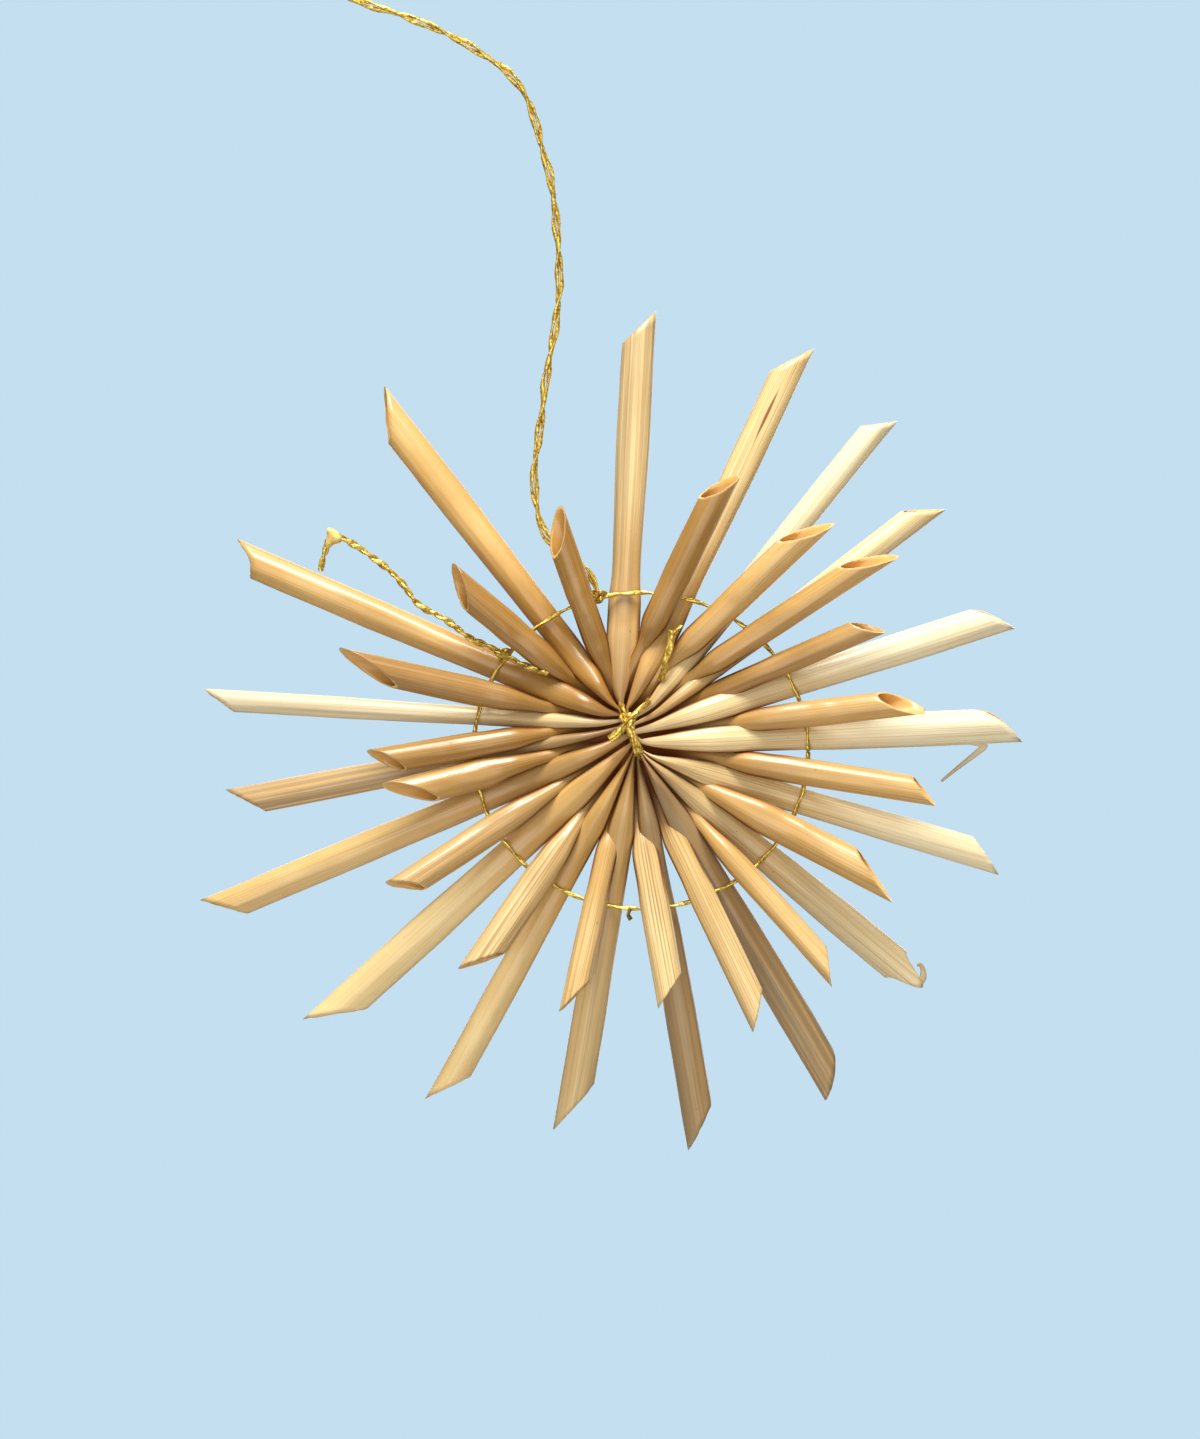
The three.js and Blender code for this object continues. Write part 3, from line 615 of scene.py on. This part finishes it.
def dried_straw():
    """Dried rye straw: a waxy skin over lengthwise fibres, so it is satin, finely streaked and a little
    uneven in tone. Inside the bore it is warmer and brighter, a painted glow of light shining through the
    thin wall, and it is paler where the knife cut the fibres."""
    material, tree, shader = new_material("dried rye straw")
    grain = add(tree, "ShaderNodeAttribute", {"attribute_name": "grain"}, output="Vector")
    ripeness, greyness, fibres, cut_face, inside, pressed_and_shaded, folded_and_shaded, cracked = (
        add(tree, "ShaderNodeAttribute", {"attribute_name": name}, output="Fac")
        for name in ("ripeness", "greyness", "fibres", "cut_face", "inside", "pressed_and_shaded", "folded_and_shaded", "cracked"))

    # Streaks: width round the straw and length along it, in mm, and how much detail they have.
    streaks = {}
    for name, width, length, detail in (("stria", 0.13, 34.0, 2.0), ("stripe", 0.42, 45.0, 2.0),
                                        ("fleck", 0.3, 0.7, 1.0), ("mottle", 3.0, 9.0, 2.0)):
        scale = (STRAW_RADIUS / width, STRAW_RADIUS / width, 1 / length)
        stretched = add(tree, "ShaderNodeVectorMath", TIMES, {0: grain, 1: scale})
        streaks[name] = add(tree, "ShaderNodeTexNoise", inputs={
            "Vector": stretched, "Scale": 1.0, "Detail": detail, "Roughness": 0.6}, output="Fac")

    uneven = add(tree, "ShaderNodeMath", {"operation": "MULTIPLY_ADD"},
                 {0: streaks["mottle"], 1: MOTTLE_SHARE, 2: ripeness})
    tone = add(tree, "ShaderNodeMapRange", inputs={
        "Value": uneven, "From Min": MOTTLE_SHARE / 2, "From Max": 3 + MOTTLE_SHARE / 2})
    colours = add(tree, "ShaderNodeValToRGB", inputs={"Fac": tone}, output=None)
    stops = colours.color_ramp.elements
    stops[0].color = linear(BLEACHED)
    stops[1].color = linear(AMBER)
    stops.new(1 / 3).color = linear(CREAM)
    stops.new(2 / 3).color = linear(HONEY)
    colour = colours.outputs["Color"]

    stripe = add(tree, "ShaderNodeMapRange", inputs={
        "Value": streaks["stripe"], "From Min": 0.25, "From Max": 0.75})
    grey_share = add(tree, "ShaderNodeMath", TIMES, {0: greyness, 1: stripe})
    stria = add(tree, "ShaderNodeMapRange", inputs={
        "Value": streaks["stria"], "From Min": 0.46, "From Max": 0.62, "To Max": 0.8})
    stria_depth = add(tree, "ShaderNodeMapRange", inputs={
        "Value": ripeness, "From Max": 2.0, "To Min": 0.4, "To Max": 1.0})
    ripe_stria = add(tree, "ShaderNodeMath", TIMES, {0: stria, 1: stria_depth})
    stria_share = add(tree, "ShaderNodeMath", TIMES, {0: ripe_stria, 1: fibres})
    fleck = add(tree, "ShaderNodeMapRange", inputs={
        "Value": streaks["fleck"], "From Min": 0.76, "From Max": 0.82, "To Max": 0.7})
    # The inside wall takes the painted glow of light shining through the straw.
    bore_glow_share = add(tree, "ShaderNodeMath", TIMES, {0: inside, 1: BORE_GLOW_SHARE})

    # Folded and pressed stretches have gone brown, most of all along the two folds of the flattened straw.
    # The same dark brown is also painted shade: the dark valleys between the rays, and the short straws where
    # they lie behind the long ones.
    sideways = add(tree, "ShaderNodeSeparateXYZ", inputs={"Vector": grain}, output="X")
    aside = add(tree, "ShaderNodeMath", {"operation": "ABSOLUTE"}, {0: sideways})
    flank = add(tree, "ShaderNodeMapRange", {"interpolation_type": "SMOOTHSTEP"},
                {"Value": aside, "From Min": 0.76, "From Max": 0.98})
    flank_brown_and_shade = add(tree, "ShaderNodeMath", TIMES, {0: flank, 1: folded_and_shaded})
    browned_and_shaded = add(tree, "ShaderNodeMath", {"operation": "MAXIMUM"}, {0: flank_brown_and_shade, 1: pressed_and_shaded})
    brown_and_shade_share = add(tree, "ShaderNodeMath", TIMES, {0: browned_and_shaded, 1: FOLD_AND_SHADE_SHARE})

    # A crack is a dark line at the front of the straw, widest halfway along it.
    crack_edge = add(tree, "ShaderNodeMath", TIMES, {0: cracked, 1: CRACK_REACH})
    crack_depth = add(tree, "ShaderNodeMath", MINUS, {0: crack_edge, 1: aside})
    crack = add(tree, "ShaderNodeMapRange", {"interpolation_type": "SMOOTHSTEP"},
                {"Value": crack_depth, "From Min": 0.0, "From Max": 0.7 * CRACK_REACH})

    for share, layer in ((grey_share, WEATHERED), (stria_share, STRIA), (brown_and_shade_share, FOLD_AND_SHADE), (fleck, FLECK),
                         (crack, CRACK), (bore_glow_share, BORE_GLOW), (cut_face, CUT_FACE)):
        colour = add(tree, "ShaderNodeMix", {"data_type": "RGBA"},
                     {"Factor": share, "A": colour, "B": linear(layer)}, output="Result")
    tree.links.new(colour, shader.inputs["Base Color"])

    roughness = add(tree, "ShaderNodeMapRange", inputs={
        "Value": streaks["stria"], "From Min": 0.3, "From Max": 0.7, "To Min": 0.32, "To Max": 0.48})
    tree.links.new(roughness, shader.inputs["Roughness"])
    for socket, strength in (("Normal", 0.3), ("Coat Normal", 0.1)):
        ridges = add(tree, "ShaderNodeBump", inputs={
            "Height": streaks["stria"], "Strength": strength, "Distance": 0.00008})
        tree.links.new(ridges, shader.inputs[socket])

    # Less coat and specular where the straw is folded or pressed and the wax has gone, and in the painted
    # shade of the valleys.
    for socket, whole, worn in (("Coat Weight", 0.5, 0.0), ("Specular IOR Level", 0.5, 0.08)):
        gloss = add(tree, "ShaderNodeMapRange", inputs={"Value": browned_and_shaded, "To Min": whole, "To Max": worn})
        tree.links.new(gloss, shader.inputs[socket])
    shader.inputs["IOR"].default_value = 1.48
    shader.inputs["Coat Roughness"].default_value = 0.2
    return material


rays = {tier: [make_ray(tier, i, *row) for i, row in enumerate(rows)] for tier, rows in RAYS.items()}
all_rays = rays["long"] + rays["short"]
for ray in all_rays:
    fit_width(ray, rays["long"])
straw = dried_straw()
culm = culm_tree()
for tier, slot in (("long", "dried_straw"), ("short", "darker_straw")):
    for k in range(9):
        rings = straw_rings(rays[tier][k], rays[tier][k + 9], k + (9 if tier == "short" else 0))
        guide = guide_line(f"{tier} culm {k + 1}", rings)
        piece = skin_piece(f"{tier}_culm_{k + 1}", guide, culm, {"Straw": straw, "Seed": 3.0 * k})
        for peeled, places, width in SPLINTERS:
            if peeled == (tier, k + 1):
                guide = guide_line("splinter", splinter_rings(rays[tier][k], places, width))
                piece = joined([piece, skin_piece("splinter", guide, culm, {"Straw": straw, "Sides": 10})])
        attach(piece, "root")
        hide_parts(f"{tier}_straw_{k + 1}")


# The ring thread: one gold foil thread that runs over the long straws and under the short ones, tied off
# with a knot at the hanging loop and another at the left, with a short dark stub at the bottom.

THREAD, RING_WEAVE = 0.58, 0.28
GOLD, OLD_GOLD, SEAM = "#f3d468", "#b58f2e", "#5a4212"


def foil_thread_tree():
    """A thread along a guide line: a flattened strand, twisted as it runs, with the crinkles of its foil."""
    tree = new_shape_tree("foil thread", {
        "Thickness": ("NodeSocketFloat", 0.00054),
        "Flatness": ("NodeSocketFloat", 0.62),
        "Twist length": ("NodeSocketFloat", 0.007),
        "Step": ("NodeSocketFloat", 0.00016),
        "Crinkle": ("NodeSocketFloat", 0.00009),
        "Crinkles": ("NodeSocketFloat", 2600.0),
        "Sides": ("NodeSocketInt", 12),
        "Foil": ("NodeSocketMaterial", None),
    })
    given = add(tree, "NodeGroupInput", output=None).outputs
    line = add(tree, "GeometryNodeMeshToCurve", inputs={"Mesh": given["Guide"]})
    line = add(tree, "GeometryNodeResampleCurve", {"mode": "LENGTH"},
               {"Curve": line, "Length": given["Step"]})
    run = add(tree, "GeometryNodeSplineParameter", output="Length")
    turns = add(tree, "ShaderNodeMath", OVER, {0: run, 1: given["Twist length"]})
    tilt = add(tree, "ShaderNodeMath", TIMES, {0: turns, 1: math.tau})
    line = add(tree, "GeometryNodeSetCurveTilt", inputs={"Curve": line, "Tilt": tilt})
    line = add(tree, "GeometryNodeStoreNamedAttribute", NUMBER,
               {"Geometry": line, "Name": "run", "Value": run})

    radius = add(tree, "ShaderNodeMath", TIMES, {0: given["Thickness"], 1: 0.5})
    circle = add(tree, "GeometryNodeCurvePrimitiveCircle",
                 inputs={"Resolution": given["Sides"], "Radius": radius}, output="Curve")
    index = add(tree, "GeometryNodeInputIndex")
    around = add(tree, "ShaderNodeMath", OVER, {0: index, 1: given["Sides"]})
    circle = add(tree, "GeometryNodeStoreNamedAttribute", NUMBER,
                 {"Geometry": circle, "Name": "around", "Value": around})
    squeeze = add(tree, "ShaderNodeCombineXYZ", inputs={"X": 1.0, "Y": given["Flatness"], "Z": 1.0})
    profile = add(tree, "GeometryNodeTransform", inputs={"Geometry": circle, "Scale": squeeze})
    skin = add(tree, "GeometryNodeCurveToMesh",
               inputs={"Curve": line, "Profile Curve": profile, "Fill Caps": True})

    bumps = add(tree, "ShaderNodeTexNoise", inputs={"Scale": given["Crinkles"], "Detail": 1.0})
    bump = add(tree, "ShaderNodeMath", MINUS, {0: bumps, 1: 0.5})
    swell = add(tree, "ShaderNodeMath", TIMES, {0: bump, 1: given["Crinkle"]})
    outwards = add(tree, "GeometryNodeInputNormal")
    push = add(tree, "ShaderNodeVectorMath", {"operation": "SCALE"}, {0: outwards, "Scale": swell})
    skin = add(tree, "GeometryNodeSetPosition", inputs={"Geometry": skin, "Offset": push})
    end_shape_tree(tree, skin, given["Foil"])
    return tree


def gold_foil():
    """Gold foil wound round a yellow core: bright metal with crinkles, and a dark seam that winds along it
    where one turn of foil meets the next."""
    material, tree, shader = new_material("gold foil thread")
    around, run, age = (
        add(tree, "ShaderNodeAttribute", {"attribute_name": name}, output="Fac")
        for name in ("around", "run", "age"))
    place = add(tree, "ShaderNodeTexCoord", output="Object")
    foil_width, crinkle_size = 0.0016, 0.00035
    wound = add(tree, "ShaderNodeMath", {"operation": "MULTIPLY_ADD"}, {0: run, 1: 1 / foil_width, 2: around})
    share = add(tree, "ShaderNodeMath", {"operation": "FRACT"}, {0: wound})
    seam = add(tree, "ShaderNodeMapRange", inputs={
        "Value": share, "From Min": 0.0, "From Max": 0.16, "To Min": 0.75, "To Max": 0.0})
    crinkles = add(tree, "ShaderNodeTexNoise", inputs={
        "Vector": place, "Scale": 1 / crinkle_size, "Detail": 2.0}, output="Fac")
    dull = add(tree, "ShaderNodeMapRange", inputs={"Value": crinkles, "From Min": 0.4, "From Max": 0.65})
    colour = linear(GOLD)
    for amount, layer in ((dull, OLD_GOLD), (seam, SEAM), (age, SEAM)):
        colour = add(tree, "ShaderNodeMix", {"data_type": "RGBA"},
                     {"Factor": amount, "A": colour, "B": linear(layer)}, output="Result")
    tree.links.new(colour, shader.inputs["Base Color"])
    shader.inputs["Metallic"].default_value = 0.6
    shader.inputs["Roughness"].default_value = 0.25
    creases = add(tree, "ShaderNodeBump", inputs={"Height": crinkles, "Strength": 0.6, "Distance": 0.0001})
    tree.links.new(creases, shader.inputs["Normal"])
    return material


def thread_piece(name, paths, thickness, **choices):
    """One object of thread along each path: places on the face, how old the foil looks, and closed or not."""
    parts = []
    for places, age, closed in paths:
        guide = guide_line(name, {"centre": in_frame(places), "age": np.full(len(places), age)}, closed)
        parts.append(skin_piece(name, guide, foil_thread, {
            "Thickness": thickness * 0.001, "Foil": foil, **choices}))
    piece = joined(parts)
    piece.name = name
    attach(piece, "root")
    return piece


def knot(place, size):
    """A pulled-tight overhand knot as a closed path: three crossings, squeezed to the given size."""
    t = np.linspace(0, math.tau, 64, endpoint=False)
    u = np.sin(t) + 2 * np.sin(2 * t)
    v = np.cos(t) - 2 * np.cos(2 * t)
    d = -np.sin(3 * t)
    return np.column_stack([u / 3, v / 3, d]) * np.array(size) + np.array(place)


foil = gold_foil()
foil_thread = foil_thread_tree()
LOOP_KNOT, LOOP_KNOT_SIZE = (-3.8, 15.7, 0.0), (1.0, 0.65, 0.6)
TAIL_KNOT, TAIL_KNOT_SIZE = (-15.1, 8.75, 0.35), (0.85, 0.75, 0.6)
turns = np.radians(np.arange(0, 360, 2.0))
ring_places = RING.middle + RING.reach * np.column_stack([np.cos(turns), np.sin(turns)])
ring_angles = np.degrees(np.arctan2(ring_places[:, 1], ring_places[:, 0]))
crossings = []
for ray in all_rays:
    spot = axis_places(ray, [ray.ring_at])[0]
    crossings.append((math.degrees(math.atan2(spot[1], spot[0])), -RING_WEAVE * ray.side))
crossings.sort()
crossing_angles, crossing_depths = np.array(crossings).T
ring_depth = np.interp(ring_angles, crossing_angles, crossing_depths, period=360)
STUB = [(0.1, -21.5, 0.1), (-0.2, -22.2, 0.1), (0.1, -22.8, 0.0)]
ring_thread = thread_piece("ring_of_thread", [
    (np.column_stack([ring_places, ring_depth]), 0.0, True),
    (knot(LOOP_KNOT, LOOP_KNOT_SIZE), 0.25, True),
    (knot(TAIL_KNOT, TAIL_KNOT_SIZE), 0.1, True),
    (smooth_path(STUB, 0.2), 0.8, False),
], THREAD)
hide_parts("ring_thread")


# The centre tie: a thicker gold thread drawn round all straws at the middle and knotted in front. One cut
# end is splayed flat at the lower left, and the other lies in the valley between two long straws.

TIE_THREAD = 0.82
TIE_FRONT, TIE_BACK = 3.45, -3.35
WRAP = [
    (-1.05, 2.7, 1.2), (-0.75, 2.1, 3.2), (-0.35, 1.2, TIE_FRONT), (0.1, 0.2, TIE_FRONT),
    (0.75, -1.6, TIE_FRONT), (1.15, -2.7, 3.0), (1.45, -3.4, 1.2), (1.4, -3.5, -1.5), (0.8, -2.0, TIE_BACK),
    (-0.6, 1.5, TIE_BACK), (-1.1, 2.6, -1.5),
]
TIE_KNOT, TIE_KNOT_SIZE = (-0.35, 1.0, 3.6), (0.8, 0.7, 0.45)
SECOND_STRAND = [(-0.3, 1.0, 3.6), (-0.2, 0.1, 3.65), (0.35, -1.7, 3.55), (0.8, -2.9, 2.9), (1.0, -3.4, 1.5)]
FLAT_END = [(-0.3, 1.0, 3.7), (-0.9, 0.1, 3.7), (-1.7, -0.6, 3.55), (-2.5, -1.15, 3.3)]
FLAT_END_LOWER = [(-0.2, 0.5, 3.6), (-0.9, -0.3, 3.55), (-1.7, -1.0, 3.4), (-2.3, -1.4, 3.2)]
LONG_END = [
    (-0.4, 0.6, 3.7), (-0.1, 1.2, 3.95), (0.7, 1.8, 3.8), (1.9, 2.85, 2.7), (2.3, 3.4, 0.3), (2.8, 4.4, -1.0),
    (3.3, 5.3, -0.8), (3.8, 6.2, 1.8), (4.3, 7.6, 2.7), (4.7, 9.0, 2.8), (4.9, 10.4, 2.8), (5.3, 11.3, 2.7),
    (6.1, 12.1, 2.4),
]
FRAYED_END = [(3.6, 5.8, 1.2), (4.1, 7.4, 2.6), (4.35, 8.8, 2.7), (4.6, 10.2, 2.7), (4.9, 11.6, 2.6)]
ends = [(SECOND_STRAND, 0.0), (FLAT_END, 0.0), (FLAT_END_LOWER, 0.1), (LONG_END, 0.1), (FRAYED_END, 0.15)]
tie = thread_piece("tie_at_middle", [
    (smooth_path(WRAP, 0.3, closed=True), 0.0, True),
    (knot(TIE_KNOT, TIE_KNOT_SIZE), 0.0, True),
    *((smooth_path(places, 0.2), age, False) for places, age in ends),
], TIE_THREAD)
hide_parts("centre_tie")


# The hanging loop: one gold thread laid double and lightly twisted on itself. It rises from its knot on the
# ring thread behind a short straw, and its bight opens into a small eye that goes over a hook.

LOOP_ROUTE = [
    (-3.8, 16.2), (-4.9, 18.3), (-7.6, 20.8), (-10.0, 22.9), (-11.2, 27.1), (-11.4, 30.1), (-10.6, 36.5),
    (-10.0, 41.5), (-9.0, 47.1), (-8.4, 52.6), (-8.7, 59.0), (-9.3, 64.5), (-10.6, 69.6), (-12.0, 74.3),
    (-14.2, 77.7), (-17.6, 80.2), (-20.9, 82.2), (-25.7, 84.3), (-30.8, 86.0), (-35.1, 87.5), (-37.1, 88.8),
    (-38.6, 90.7), (-39.3, 93.2),
]
EYE = [
    (-40.9, 96.5), (-41.7, 99.6), (-41.2, 102.2), (-39.6, 103.0), (-38.0, 102.2), (-37.4, 99.6),
    (-38.3, 96.5),
]
LOOP_TWIST_LENGTH, LOOP_STRAND_OFFSET = 12.5, 0.3

route = smooth_path([(u, v, 0.0) for u, v in LOOP_ROUTE], 0.5)
lengths, headings = steps_along(route)
to_side = np.column_stack([headings[:, 1], -headings[:, 0], np.zeros(len(route))])
run_left = np.cumsum(lengths[::-1])[::-1]
twist = math.tau * run_left / LOOP_TWIST_LENGTH
to_front = np.array([0, 0, 1.0])
offset = LOOP_STRAND_OFFSET * (to_side * np.cos(twist)[:, None] + to_front * np.sin(twist)[:, None])
eye = [(u, v, 0.0) for u, v in EYE]
eye_path = smooth_path([tuple((route - offset)[-1]), *eye, tuple((route + offset)[-1])], 0.5)
loop_path = np.vstack([(route - offset)[:-1], eye_path, (route + offset)[-2::-1]])
loop = thread_piece("loop_for_hanging", [(loop_path, 0.0, False)], THREAD)
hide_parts("hanging_loop")


# The tail: two stiff gold strands twisted tightly, glued down beside the knot at the left and sticking out
# from it. A drop of glue has dried at its bend, and its cut tip hangs below the drop.

TAIL_ROUTE = [
    (-9.8, 6.4, 1.75), (-13.2, 7.8, 1.3), (-15.1, 8.75, 1.0), (-16.5, 9.6, 0.9), (-18.7, 10.5, 0.9),
    (-22.1, 13.0, 0.85), (-25.0, 14.6, 0.8), (-27.7, 17.9, 0.75), (-30.5, 20.2, 0.7), (-33.0, 21.9, 0.65),
    (-35.0, 22.9, 0.65), (-35.9, 22.2, 0.65), (-36.25, 21.0, 0.65), (-36.55, 20.0, 0.65), (-36.8, 18.7, 0.65),
]
TAIL_THICKNESS, TAIL_STRAND, TAIL_LAY_LENGTH = 0.95, 0.62, 3.0

tail_path = smooth_path(TAIL_ROUTE, 0.15)
lengths, headings = steps_along(tail_path)
to_side = np.cross(headings, (0.0, 0.0, 1.0))
to_front = np.cross(to_side, headings)
lay = math.tau * np.cumsum(lengths) / TAIL_LAY_LENGTH
reach = (TAIL_THICKNESS - TAIL_STRAND) / 2
swing = reach * (to_side * np.cos(lay)[:, None] + to_front * np.sin(lay)[:, None])
tail = thread_piece("tail_of_thread", [
    (tail_path + swing, 0.0, False),
    (tail_path - swing, 0.05, False),
], TAIL_STRAND)
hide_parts("thread_tail", "thread_tip")

GLUE_OUTLINE = [(-36.0, 23.75), (-35.4, 23.75), (-34.2, 22.65), (-34.4, 22.1), (-35.2, 21.85), (-35.75, 21.4),
                (-36.2, 21.45), (-36.0, 22.9)]
GLUE_MIDDLE = np.array([-35.4, 22.6])
GLUE_LAYERS = ((0.55, 0.1), (1.0, 0.4), (1.0, 0.95), (0.55, 1.25))
GLUE_PALE, GLUE_DEEP = "#e9d68c", "#c7a348"


def dried_glue():
    """Dried craft glue: yellow with deeper clouds, half glossy and a little translucent."""
    material, tree, shader = new_material("dried craft glue")
    place = add(tree, "ShaderNodeTexCoord", output="Object")
    cloud_size = 0.0012
    clouds = add(tree, "ShaderNodeTexNoise", inputs={"Vector": place, "Scale": 1 / cloud_size}, output="Fac")
    share = add(tree, "ShaderNodeMapRange", inputs={"Value": clouds, "From Min": 0.35, "From Max": 0.65})
    colour = add(tree, "ShaderNodeMix", {"data_type": "RGBA"},
                 {"Factor": share, "A": linear(GLUE_PALE), "B": linear(GLUE_DEEP)}, output="Result")
    tree.links.new(colour, shader.inputs["Base Color"])
    shader.inputs["Roughness"].default_value = 0.32
    shader.inputs["Subsurface Weight"].default_value = 0.2
    shader.inputs["Subsurface Scale"].default_value = 0.0008
    return material


drop = new_object("drop_of_glue", bpy.data.meshes.new("drop of glue"))
blob = bmesh.new()
outline = np.array(GLUE_OUTLINE)
layers = []
for scale, d in GLUE_LAYERS:
    spread = GLUE_MIDDLE + scale * (outline - GLUE_MIDDLE)
    points = in_frame(np.column_stack([spread, np.full(len(spread), d)]))
    layers.append([blob.verts.new(point) for point in points])
for lower, upper in zip(layers, layers[1:]):
    for j in range(len(lower)):
        k = (j + 1) % len(lower)
        blob.faces.new((lower[j], lower[k], upper[k], upper[j]))
blob.faces.new(layers[0])
blob.faces.new(layers[-1])
bmesh.ops.recalc_face_normals(blob, faces=blob.faces)
bmesh.ops.subdivide_edges(blob, edges=blob.edges, cuts=2, use_grid_fill=True, smooth=0.3)
for face in blob.faces:
    face.smooth = True
blob.to_mesh(drop.data)
blob.free()
drop.data.materials.append(dried_glue())
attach(drop, "root")
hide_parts("glue_drop")


# The view: a camera that faces the star square on. A soft light box above, a weak fill in front and a glow
# from behind light it, in pale blue surroundings and over a small pale floor well below the star.

PIXEL, PHOTO_HEIGHT = 0.119, 1439
PHOTO_CENTRE, STAR_PIXEL = (600.0, 719.5), (630.0, 728.0)
VIEW_DISTANCE, SENSOR = 0.8, 36.0

camera_data = bpy.data.cameras.new("view")
camera_data.sensor_width = SENSOR
camera_data.lens = SENSOR * VIEW_DISTANCE / (PHOTO_HEIGHT * PIXEL * 0.001)
camera = new_object("view", camera_data)
aim_u = (PHOTO_CENTRE[0] - STAR_PIXEL[0]) * PIXEL
aim_v = (STAR_PIXEL[1] - PHOTO_CENTRE[1]) * PIXEL
aim = Vector(in_frame([(aim_u, aim_v, 0)])[0])
camera.location = aim + Vector((0, -VIEW_DISTANCE, 0))
camera.rotation_euler = (math.pi / 2, 0, 0)
bpy.context.scene.camera = camera

star_middle = Vector(in_frame([(0, 0, 0)])[0])
for name, offset, size, power, colour in (
    ("light box above", (-0.05, -0.5, 1.1), 0.55, 24.0, "#fffdf8"),
    ("glow from behind", (0.15, 1.0, 0.25), 1.0, 5.0, "#fffdf8"),
    ("fill in front", (-0.1, -1.05, -0.1), 0.9, 5.8, "#fffaf2"),
):
    light = bpy.data.lights.new(name, "AREA")
    light.size = size
    light.energy = power
    light.color = linear(colour)[:3]
    lamp = new_object(name, light)
    lamp.location = star_middle + Vector(offset)
    lamp.rotation_euler = (star_middle - lamp.location).to_track_quat("-Z", "Y").to_euler()

BACKDROP, ROOM, ROOM_STRENGTH = "#c4dff0", "#ece9e4", 0.28
world = bpy.data.worlds.new("pale surroundings")
world.use_nodes = True
tree = world.node_tree
seen = tree.nodes["Background"]
seen.inputs["Color"].default_value = linear(BACKDROP)
lighting = add(tree, "ShaderNodeBackground", inputs={"Color": linear(ROOM), "Strength": ROOM_STRENGTH})
is_seen = add(tree, "ShaderNodeLightPath", output="Is Camera Ray")
both = add(tree, "ShaderNodeMixShader", inputs={0: is_seen, 1: lighting, 2: seen.outputs[0]})
tree.links.new(both, tree.nodes["World Output"].inputs["Surface"])
bpy.context.scene.world = world
bpy.context.scene.view_settings.view_transform = "Standard"

FLOOR_DROP, FLOOR_RADIUS, FLOOR_PAINT = 0.28, 0.22, "#c6c9cb"
floor = new_object("floor", bpy.data.meshes.new("floor"))
disc = bmesh.new()
bmesh.ops.create_circle(disc, cap_ends=True, segments=96, radius=FLOOR_RADIUS)
bmesh.ops.translate(disc, verts=disc.verts, vec=star_middle - Vector((0, 0, FLOOR_DROP)))
disc.to_mesh(floor.data)
disc.free()
paint, _, shader = new_material("pale floor paint")
shader.inputs["Base Color"].default_value = linear(FLOOR_PAINT)
shader.inputs["Roughness"].default_value = 0.8
floor.data.materials.append(paint)

bpy.context.view_layer.update()
